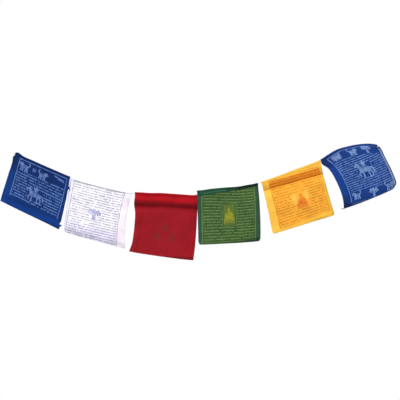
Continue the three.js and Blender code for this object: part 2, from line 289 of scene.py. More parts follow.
def smoothstep(value, low, high):
    t = np.clip((value - low) / (high - low), 0, 1)
    return t * t * (3 - 2 * t)


def bow_shape(t):
    return 1 - np.abs(2 * t - 1) ** BOW_POWER


def flag_corners(flag):
    top_left = np.array([flag.start, cord_height(flag.start)])
    top_right = np.array([flag.end, cord_height(flag.end)])
    return top_left, top_right, np.array(flag.bottom_left, float), np.array(flag.bottom_right, float)


def side_lengths(flag):
    """Lengths of the left and the right edge below the cord."""
    top_left, top_right, bottom_left, bottom_right = flag_corners(flag)
    return np.linalg.norm(bottom_left - top_left), np.linalg.norm(bottom_right - top_right)


def flag_size(flag):
    """Mean width and mean length of the hanging sheet below the cord."""
    top_left, top_right, bottom_left, bottom_right = flag_corners(flag)
    width = (np.linalg.norm(top_right - top_left) + np.linalg.norm(bottom_right - bottom_left)) / 2
    return width, sum(side_lengths(flag)) / 2


def flat_distance(flag, u, v, row):
    """Distance of (u, v) from a fold's line, on the flat cloth as wide as its top edge."""
    top_left, top_right, _, _ = flag_corners(flag)
    width = np.linalg.norm(top_right - top_left)
    length = flag_size(flag)[1]
    x, y = (u - row.u0) * width, (v - row.v0) * length
    line_x, line_y = (row.u1 - row.u0) * width, (row.v1 - row.v0) * length
    along = np.clip((x * line_x + y * line_y) / max(line_x ** 2 + line_y ** 2, 1e-9), 0, 1)
    return np.hypot(x - along * line_x, y - along * line_y)


def fold_rise(flag, u, v, rows):
    rise = np.zeros_like(u)
    for row in rows:
        rise += row.rise * np.exp(-(flat_distance(flag, u, v, row) / row.width) ** 2)
    return rise


def ripple(flag, u, v, kind, seed):
    """Gentle unevenness of the cloth: a few waves of about one length in many directions."""
    width, length = flag_size(flag)
    chance = np.random.default_rng(seed)
    total = np.zeros_like(u)
    for _ in range(RIPPLE_WAVES):
        turn = chance.uniform(0, math.pi)
        reach = kind.wave * chance.uniform(*WAVE_SPREAD)
        phase = chance.uniform(0, 2 * math.pi)
        along = u * width * math.cos(turn) + v * length * math.sin(turn)
        total += np.sin(2 * math.pi * along / reach + phase)
    return kind.height * (total / math.sqrt(RIPPLE_WAVES))


def plane_point(flag, u, v):
    """Place of (u, v) in the plane of the string: bowed edges, filled in between."""
    top_left, top_right, bottom_left, bottom_right = flag_corners(flag)
    across = (bottom_right - bottom_left) / np.linalg.norm(bottom_right - bottom_left)
    down = np.array([across[1], -across[0]])
    bow_left, bow_right, bow_bottom = flag.bow
    u, v = u[..., None], v[..., None]
    top_x = flag.start + (flag.end - flag.start) * u
    top = np.concatenate([top_x, cord_height(top_x)], axis=-1)
    bottom = bottom_left + (bottom_right - bottom_left) * u + down * bow_bottom * bow_shape(u)
    left = top_left + (bottom_left - top_left) * v - across * bow_left * bow_shape(v)
    right = top_right + (bottom_right - top_right) * v + across * bow_right * bow_shape(v)
    top_line = (1 - u) * top_left + u * top_right
    bottom_line = (1 - u) * bottom_left + u * bottom_right
    corners = (1 - v) * top_line + v * bottom_line
    point = (1 - v) * top + v * bottom + (1 - u) * left + u * right - corners
    for pull in flag.pulls:
        away = flat_distance(flag, u, v, Fold(pull.u, pull.v, pull.u, pull.v, 0, 0))
        point = point + np.array([pull.dx, pull.dz]) * np.exp(-(away / pull.reach) ** 2)
    return point


def layer_offset(drop):
    share = smoothstep(drop, 0, LOOP_CLOSE)
    return LOOP_RADIUS * (1 - share) + LAYER_OFFSET * share


def section_rows(depth, lift, drop_length):
    """One section from the flap's edge over the cord to the bottom: drop below the cord, the layer's
    offset from the cord's plane, and the place along the cloth measured from the cord. The hem's depth
    is measured from its fold, which a lift raises above the cord."""
    flap_drop = np.linspace(depth, 0, FLAP_ROWS, endpoint=False) - lift
    angle = np.linspace(math.pi, 0, LOOP_ROWS + 1)
    share = np.linspace(0, 1, SHEET_ROWS + 1)[1:] ** SHEET_STEP_POWER
    sheet_drop = (drop_length + lift) * share - lift
    drop = np.concatenate([flap_drop, -lift - LOOP_RADIUS * np.sin(angle), sheet_drop])
    offset = np.concatenate([
        -layer_offset(flap_drop), LOOP_RADIUS * np.cos(angle), layer_offset(sheet_drop),
    ])
    along = np.concatenate([
        -flap_drop - 2 * lift - math.pi * LOOP_RADIUS, -lift - LOOP_RADIUS * angle, sheet_drop,
    ])
    return drop, offset, along


def hem_lift(flag, u):
    """Height of the hem's fold above the cord, which dies away from the flag's left edge."""
    return flag.lift * np.exp(-((flag.end - flag.start) * u / LIFT_REACH) ** 2)


def hem_depth(flag, u):
    return flag.hem[0] + (flag.hem[1] - flag.hem[0]) * u


def surface_point(flag, u, drop, offset, drop_length, seed):
    """Points of the cloth's middle layer, in millimetres."""
    x = flag.start + (flag.end - flag.start) * u
    slope = cord_slope(x)
    if flag.lift:
        slope = slope * (1 - LIFT_UPRIGHT * hem_lift(flag, u) / flag.lift)
    square = np.stack([slope, -np.ones_like(slope)], axis=-1) / np.sqrt(1 + slope ** 2)[..., None]
    below = np.maximum(drop, 0)
    v = below / drop_length
    hung = np.stack([x, cord_height(x)], axis=-1) + square * drop[..., None]
    turned = smoothstep(below, 0, SQUARE_DROP)[..., None]
    place = hung * (1 - turned) + plane_point(flag, u, v) * turned

    rise = fold_rise(flag, u, v, flag.folds) + fold_rise(flag, u, v, flag.creases)
    rise += ripple(flag, u, v, BROAD_RIPPLE, seed) + ripple(flag, u, v, FINE_RIPPLE, seed + 1)
    width, _ = flag_size(flag)
    edge = np.minimum(np.minimum(u, 1 - u) * width, drop_length - below)
    rise += np.exp(-(edge / EDGE_RIPPLE_REACH) ** 2) * ripple(flag, u, v, EDGE_RIPPLE, seed + 2)
    depth = -flag.hem_side * offset - rise * smoothstep(below, 0, FOLD_START)
    stitch_line = hem_depth(flag, u) - hem_lift(flag, u) - STITCH_ABOVE_EDGE
    pucker = PUCKER_HEIGHT * np.exp(-((below - stitch_line) / PUCKER_REACH) ** 2)
    drift = ripple(flag, u, v, PUCKER_DRIFT, seed + 3)
    depth += pucker * np.sin(2 * math.pi * u * width / PUCKER_PITCH + drift)
    return np.stack([place[..., 0], depth, place[..., 1]], axis=-1)


def flag_surface(flag, seed):
    """Grid of points across and down a flag, with each point's u and its place along the cloth."""
    left, right = side_lengths(flag)
    columns = []
    for u in np.linspace(0, 1, ACROSS_STEPS + 1):
        length = left + (right - left) * u
        drop, offset, along = section_rows(hem_depth(flag, u), hem_lift(flag, u), length)
        columns.append(np.stack([np.full_like(drop, u), drop, offset, along, np.full_like(drop, length)]))
    u, drop, offset, along, length = np.stack(columns, axis=1)
    return surface_point(flag, u, drop, offset, length, seed), u, along


# Meshes

def make_object(name, vertices, faces, material):
    mesh = bpy.data.meshes.new(name)
    mesh.from_pydata(((np.asarray(vertices) - ORIGIN) * MM).tolist(), [], faces)
    mesh.polygons.foreach_set("use_smooth", [True] * len(mesh.polygons))
    mesh.materials.append(material)
    mesh.update()
    piece = bpy.data.objects.new(name, mesh)
    bpy.context.scene.collection.objects.link(piece)
    return piece


def grid_faces(rows, columns):
    index = np.arange(rows * columns).reshape(rows, columns)
    return np.stack([index[:-1, :-1], index[:-1, 1:], index[1:, 1:], index[1:, :-1]], axis=-1).reshape(-1, 4)


def rim_faces(rows, columns):
    """Faces around a grid's border, from its front layer to its back layer."""
    index = np.arange(rows * columns).reshape(rows, columns)
    loop = np.concatenate([index[0, :-1], index[:-1, -1], index[-1, :0:-1], index[:0:-1, 0]])
    after = np.roll(loop, -1)
    layer = rows * columns
    return np.stack([after, loop, loop + layer, after + layer], axis=-1)


def cloth_object(name, points, u, along, width, length, material):
    """A closed sheet of thin cloth with its own map: u across and the share of the length down."""
    rows, columns = u.shape
    normal = np.cross(np.gradient(points, axis=0), np.gradient(points, axis=1))
    normal /= np.linalg.norm(normal, axis=-1, keepdims=True)
    half = CLOTH_THICKNESS / 2
    layers = [(points - normal * half).reshape(-1, 3), (points + normal * half).reshape(-1, 3)]
    front = grid_faces(rows, columns)
    back = front[:, ::-1] + rows * columns
    faces = np.concatenate([front, back, rim_faces(rows, columns)])
    piece = make_object(name, np.concatenate(layers), faces.tolist(), material)
    mesh = piece.data
    corner = np.empty(len(mesh.loops), dtype=np.int32)
    mesh.loops.foreach_get("vertex_index", corner)
    place = np.stack([u, along / length], axis=-1).reshape(-1, 2)
    place = np.concatenate([place, place]).astype(np.float32)
    mesh.uv_layers.new(name="cloth").data.foreach_set("uv", place[corner].ravel())
    printed = np.concatenate([np.ones(rows * columns), np.zeros(rows * columns)]).astype(np.float32)
    mesh.attributes.new("printed", "FLOAT", "POINT").data.foreach_set("value", printed)
    return piece


def tube_frames(line):
    """Two directions square to a line at each of its points, turned as little as can be."""
    tangent = np.gradient(line, axis=0)
    tangent /= np.linalg.norm(tangent, axis=1, keepdims=True)
    start = np.array([0, 1, 0]) if abs(tangent[0, 1]) < 0.9 else np.array([1, 0, 0])
    side = np.empty_like(line)
    current = start - tangent[0] * tangent[0].dot(start)
    for step, direction in enumerate(tangent):
        current = current - direction * direction.dot(current)
        current = current / np.linalg.norm(current)
        side[step] = current
    return side, np.cross(tangent, side)


def tube(line, radius, sides):
    """Vertices and faces of one closed tube along a line."""
    line = np.asarray(line, float)
    side, other = tube_frames(line)
    radius = np.broadcast_to(np.asarray(radius, float), len(line))[:, None, None]
    angle = np.linspace(0, 2 * math.pi, sides, endpoint=False)
    ring = side[:, None] * np.cos(angle)[None, :, None] + other[:, None] * np.sin(angle)[None, :, None]
    vertices = (line[:, None] + ring * radius).reshape(-1, 3)
    faces = []
    for step in range(len(line) - 1):
        for corner in range(sides):
            a = step * sides + corner
            b = step * sides + (corner + 1) % sides
            faces.append((a, b, b + sides, a + sides))
    faces.append(tuple(range(sides))[::-1])
    faces.append(tuple(range(len(vertices) - sides, len(vertices))))
    return vertices, faces


def joined_tubes(name, tubes, material):
    vertices, faces, count = [], [], 0
    for points, corners in tubes:
        vertices.append(points)
        faces.extend(tuple(index + count for index in face) for face in corners)
        count += len(points)
    return make_object(name, np.concatenate(vertices), faces, material)


# Node fields: a value that varies over a surface, with ordinary arithmetic

class Field:
    def __init__(self, tree, socket):
        self.tree = tree
        self.socket = socket

    def math(self, operation, *others):
        node = self.tree.nodes.new("ShaderNodeMath")
        node.operation = operation
        for slot, value in enumerate((self, *others)):
            connect(self.tree, node.inputs[slot], value)
        return Field(self.tree, node.outputs[0])

    def __add__(self, other):
        return self.math("ADD", other)

    def __sub__(self, other):
        return self.math("SUBTRACT", other)

    def __mul__(self, other):
        return self.math("MULTIPLY", other)

    def __truediv__(self, other):
        return self.math("DIVIDE", other)

    def __rsub__(self, other):
        return (self * -1) + other

    __radd__ = __add__
    __rmul__ = __mul__


def connect(tree, socket, value):
    if isinstance(value, Field):
        tree.links.new(value.socket, socket)
    else:
        socket.default_value = value


def ramp(field, low, high):
    """0 below low, 1 above high, smooth between. Falls instead where low is the larger."""
    node = field.tree.nodes.new("ShaderNodeMapRange")
    node.interpolation_type = "SMOOTHSTEP"
    node.clamp = False
    falling = low > high
    connect(field.tree, node.inputs["Value"], field)
    node.inputs["From Min"].default_value = min(low, high)
    node.inputs["From Max"].default_value = max(low, high)
    node.inputs["To Min"].default_value = 1.0 if falling else 0.0
    node.inputs["To Max"].default_value = 0.0 if falling else 1.0
    return Field(field.tree, node.outputs["Result"])


def band(field, low, high, soft):
    """1 between low and high, with soft edges."""
    rising = ramp(field - low, -soft, soft)
    return rising * ramp(field - high, soft, -soft)


def combine(tree, x, y):
    node = tree.nodes.new("ShaderNodeCombineXYZ")
    connect(tree, node.inputs[0], x)
    connect(tree, node.inputs[1], y)
    return Field(tree, node.outputs[0])


def vector_math(tree, operation, *values):
    node = tree.nodes.new("ShaderNodeVectorMath")
    node.operation = operation
    for slot, value in enumerate(values):
        target = node.inputs["Scale"] if operation == "SCALE" and slot == 1 else node.inputs[slot]
        connect(tree, target, value)
    gives_number = operation in ("DOT_PRODUCT", "DISTANCE")
    return Field(tree, node.outputs["Value" if gives_number else "Vector"])


def chance(tree, x, y):
    """Three random numbers for each whole x and y."""
    node = tree.nodes.new("ShaderNodeTexWhiteNoise")
    node.noise_dimensions = "2D"
    connect(tree, node.inputs["Vector"], combine(tree, x, y))
    split = tree.nodes.new("ShaderNodeSeparateColor")
    tree.links.new(node.outputs["Color"], split.inputs[0])
    return [Field(tree, output) for output in split.outputs]


def noise(tree, x, y, detail=2.0):
    node = tree.nodes.new("ShaderNodeTexNoise")
    node.noise_dimensions = "2D"
    node.inputs["Scale"].default_value = 1.0
    node.inputs["Detail"].default_value = detail
    connect(tree, node.inputs["Vector"], combine(tree, x, y))
    return Field(tree, node.outputs[0])


def mix(tree, share, first, second):
    node = tree.nodes.new("ShaderNodeMix")
    node.data_type = "RGBA"
    socket = {inner.identifier: inner for inner in node.inputs}
    connect(tree, socket["Factor_Float"], share)
    connect(tree, socket["A_Color"], first)
    connect(tree, socket["B_Color"], second)
    return Field(tree, {inner.identifier: inner for inner in node.outputs}["Result_Color"])


def srgb(red, green, blue):
    """A colour as it looks on a screen, 0 to 255, as linear light."""
    channels = []
    for value in (red, green, blue):
        share = value / 255
        channels.append(share / 12.92 if share <= 0.04045 else ((share + 0.055) / 1.055) ** 2.4)
    return (*channels, 1.0)


def darker(colour, share):
    return tuple(channel * share for channel in colour[:3]) + (1.0,)


def new_group(name, inputs, outputs, input_type="NodeSocketFloat"):
    """A node group with named sockets, and its inputs as fields."""
    tree = bpy.data.node_groups.new(name, "ShaderNodeTree")
    for label in inputs:
        tree.interface.new_socket(label, in_out="INPUT", socket_type=input_type)
    for label in outputs:
        tree.interface.new_socket(label, in_out="OUTPUT", socket_type="NodeSocketFloat")
    sockets = tree.nodes.new("NodeGroupInput").outputs
    return tree, [Field(tree, socket) for socket in sockets[:len(inputs)]]


def close_group(tree, *values):
    output = tree.nodes.new("NodeGroupOutput")
    for slot, value in enumerate(values):
        connect(tree, output.inputs[slot], value)
    return tree


def new_material(name):
    """A material, with its node tree and its surface shader."""
    material = bpy.data.materials.new(name)
    material.use_nodes = True
    tree = material.node_tree
    return material, tree, tree.nodes["Principled BSDF"]


def add_bump(tree, shader, height, strength, distance):
    bump = tree.nodes.new("ShaderNodeBump")
    bump.inputs["Strength"].default_value = strength
    bump.inputs["Distance"].default_value = distance
    connect(tree, bump.inputs["Height"], height)
    tree.links.new(bump.outputs[0], shader.inputs["Normal"])


# Motifs, each a set of round-ended strokes in millimetres, x right and y up

Stroke = namedtuple("Stroke", "x0 y0 x1 y1 radius")


def drawn(*rows):
    return [Stroke(*row) for row in rows]


HORSE = drawn(
    (-9, 0, 9, 0.5, 5.2), (-9, 1, -10, -1, 5.0), (9, 1, 10, 0, 5.4),
    (-11, 3, -16.5, 12, 3.3), (-14, 8, -17, 13, 2.8), (-17.5, 13.2, -22.5, 8.8, 2.1),
    (-16.2, 15, -15.6, 18, 0.8),
    (-12.5, 8, -9, 10, 0.9), (-14, 11.5, -10.5, 14, 0.9), (-10.5, 5.5, -7, 7, 0.9),
    (-11, -3, -17, -8, 1.8), (-17, -8, -14.5, -13, 1.4),
    (-7.5, -4, -7, -17, 1.6), (-7, -17.4, -8.8, -17.8, 1.2),
    (8, -4, 6.5, -10, 2.0), (6.5, -10, 9, -17, 1.5), (9, -17.4, 7.2, -17.8, 1.2),
    (12, -3, 16, -9, 1.9), (16, -9, 14.5, -16.5, 1.4),
    (14, 3, 19, 2, 1.5), (19, 2, 22, -7, 1.7),
    (-5, 8.2, 5, 8.2, 1.2), (0, 11, 0, 20, 2.0),
    (-3.4, 12, -4.6, 17, 1.3), (3.4, 12, 4.6, 17, 1.3),
)
HORSE_LINES = drawn(
    (-3.5, 5, -4.5, -4, 0.45), (4.5, 5.5, 5.5, -4, 0.45), (-20, 11.6, -19.4, 11.4, 0.4),
)

BEAST = drawn(
    (-5, 0, 5, 0.5, 3.4), (-8.5, 4, -8.5, 4.2, 3.0), (-11, 3, -11.8, 2.6, 1.6),
    (-6, 3.5, -5, 2, 3.4), (-5, -2, -6.5, -8, 1.4), (-2, -2.5, -2.5, -8.2, 1.3),
    (4, -2, 3, -8, 1.4), (6, -2, 7.5, -8, 1.4), (8, 1.5, 11, 5, 1.0),
    (11, 5, 9.5, 9, 1.2),
)
BEAST_LINES = drawn((-2, 3, -3, -1, 0.4), (1, 3.4, 0.4, -1, 0.4), (4, 3.4, 3.6, -0.5, 0.4))

BIRD = drawn(
    (0, -4, 0, 3, 3.4), (0, 6.8, 0, 7.2, 2.2), (-2, 7.4, -3.6, 6.8, 0.8),
    (-2, 3, -8, 6, 2.5), (-8, 6, -11, 1, 1.9), (-5, 4, -7, -1, 1.8),
    (2, 3, 8, 6, 2.5), (8, 6, 11, 1, 1.9), (5, 4, 7, -1, 1.8),
    (0, -5, -3, -10, 1.4), (0, -5, 0, -11, 1.5), (0, -5, 3, -10, 1.4),
)
BIRD_LINES = drawn((-1.2, 1, 1.2, 1, 0.35), (-1.2, -1.6, 1.2, -1.6, 0.35))

FIGURE = drawn(
    (0, 14.8, 0, 15.8, 3.2), (0, 19.6, 0, 20.2, 1.4), (0, 10, 0, 12, 1.3),
    (-4.5, 8.2, 4.5, 8.2, 2.3), (0, 2, 0, 7, 5.0), (-4, 0, 4, 0, 3.4),
    (-6, 8, -8, 2.5, 1.5), (-8, 2.5, -2.5, 0, 1.4),
    (6, 8, 8, 2.5, 1.5), (8, 2.5, 2.5, 0, 1.4),
    (-9.5, -3.4, 9.5, -3.4, 3.0),
    *[(4.4 * k, -8.6, 5.2 * k, -10.6, 1.5) for k in range(-2, 3)],
)
FIGURE_LINES = drawn(
    (-1.8, 15.5, -0.8, 15.3, 0.28), (0.8, 15.3, 1.8, 15.5, 0.28),
    (-0.7, 13.7, 0.7, 13.7, 0.22), (-4, 9, 3, 2, 0.4), (-7, -3, 4, -5, 0.4),
)

PETAL_COUNT = 8
PETAL_INNER, PETAL_OUTER = 4.6, 6.2


def petal(angle):
    across, up = math.cos(angle), math.sin(angle)
    return Stroke(PETAL_INNER * across, PETAL_INNER * up, PETAL_OUTER * across, PETAL_OUTER * up, 1.2)


ROUNDEL = [Stroke(0, 0, 0, 0.1, 2.6)] + [petal(math.tau * k / PETAL_COUNT) for k in range(PETAL_COUNT)]
ROUNDEL_LINES = [Stroke(0, 0, 0, 0.1, 0.8)]

MOTIFS = {"horse": (HORSE, HORSE_LINES), "beast": (BEAST, BEAST_LINES), "bird": (BIRD, BIRD_LINES),
          "figure": (FIGURE, FIGURE_LINES), "roundel": (ROUNDEL, ROUNDEL_LINES)}


def stroke_distance(tree, place, strokes):
    """Distance in millimetres from the nearest stroke, negative inside it."""
    nearest = None
    for stroke in strokes:
        start = (stroke.x0, stroke.y0, 0)
        line = np.array([stroke.x1 - stroke.x0, stroke.y1 - stroke.y0, 0])
        scaled = line / max(line.dot(line), 1e-6)
        away = vector_math(tree, "SUBTRACT", place, start)
        along = vector_math(tree, "DOT_PRODUCT", away, tuple(scaled))
        along = along.math("MAXIMUM", 0.0).math("MINIMUM", 1.0)
        reached = vector_math(tree, "SCALE", tuple(line), along)
        distance = vector_math(tree, "DISTANCE", away, reached) - stroke.radius
        nearest = distance if nearest is None else nearest.math("MINIMUM", distance)
    return nearest


def motif_group(name, strokes, lines):
    """A node group: the ink of a motif at a place, 0 to 1, with its inner lines left clear."""
    tree, (place,) = new_group(name, ["place"], ["ink"], "NodeSocketVector")
    ink = ramp(stroke_distance(tree, place, strokes), 0.25, -0.25)
    ink = ink * ramp(stroke_distance(tree, place, lines), -0.15, 0.15)
    return close_group(tree, ink)


def script_group():
    """A node group: rows of strokes that stand for printed script and are no letters."""
    tree, inputs = new_group("script", ["x", "y", "pitch", "glyph", "seed", "gaps"], ["ink"])
    x, y, pitch, glyph, seed, gaps = inputs
    line = y / pitch
    row = line.math("FLOOR")
    height = line.math("FRACT")
    shift = chance(tree, row + seed, seed)[0]
    place = x / glyph + shift * 11.0
    cell = place.math("FLOOR")
    across = place.math("FRACT")
    gap, lean, drop = chance(tree, cell, row + seed)
    curl, second, third = chance(tree, cell + 37.0, row + seed)
    word = ramp(gap - gaps, 0.0, 0.02)
    head = band(height, 0.14, 0.38, 0.05) * word
    stem_place = across - (lean * 0.3 + 0.16)
    stem = band(stem_place, 0.0, 0.26, 0.06) * band(height, 0.16, drop * 0.30 + 0.38, 0.05)
    other_place = across - (curl * 0.2 + 0.58)
    other = band(other_place, 0.0, 0.22, 0.06) * band(height, 0.16, third * 0.30 + 0.36, 0.05)
    other = other * ramp(second, 0.3, 0.32)
    foot = band(height, 0.56, 0.70, 0.05) * band(across, 0.1, 0.85, 0.06) * ramp(curl, 0.75, 0.77)
    strokes = stem.math("MAXIMUM", other).math("MAXIMUM", foot) * word
    return close_group(tree, head.math("MAXIMUM", strokes))


def weave_group():
    """A node group: height of a plain weave and streaks of its uneven yarn, at x and y in millimetres."""
    tree, (x, y) = new_group("weave", ["x", "y"], ["height", "streak"])
    across, down = x / YARN_PITCH, y / YARN_PITCH
    over = (across.math("FLOOR") + down.math("FLOOR")).math("FLOORED_MODULO", 2.0)
    warp = (across * math.pi).math("SINE").math("ABSOLUTE")
    weft = (down * math.pi).math("SINE").math("ABSOLUTE")
    height = warp * over + weft * (1 - over)
    streak = noise(tree, x * 0.03, y * 1.3) + noise(tree, x * 1.3 + 40.0, y * 0.03)
    return close_group(tree, height, streak - 1.0)


def use_group(tree, group, *values):
    node = tree.nodes.new("ShaderNodeGroup")
    node.node_tree = group
    for slot, value in enumerate(values):
        connect(tree, node.inputs[slot], value)
    return [Field(tree, output) for output in node.outputs]


# Prints: a row a flag, with colours as they look on a screen, 0 to 255. left and right give a frame line's
# u at the top and at the bottom of the flag. A tint is a soft-edged box of another colour laid over the
# cloth, whose v runs down by its slant across the flag; some tints are painted shade and painted highlight
# of folds, hems and edges, and say so where they stand. A rule is a printed line between two places, with
# its half-width in millimetres. The rows of a block that was laid askew run lower at the flag's left edge,
# by a share of its length at the top and at the bottom, and its row_rise evens out an arched top edge. gaps
# is the share of signs left blank between words. The last field is the share of painted shade that darkens a
# rim along the side and bottom edges.

Motif = namedtuple("Motif", "kind u v size flip")
Clear = namedtuple("Clear", "u0 v0 u1 v1")
Tint = namedtuple("Tint", "u0 v0 u1 v1 slant soft colour share")
Rule = namedtuple("Rule", "u0 v0 u1 v1 radius")
Print = namedtuple(
    "Print", "cloth ink figure left right top bottom frame_sides pitch glyph row_tilt row_rise gaps tints "
    "rules motifs clears strength figure_strength edge_shade"
)

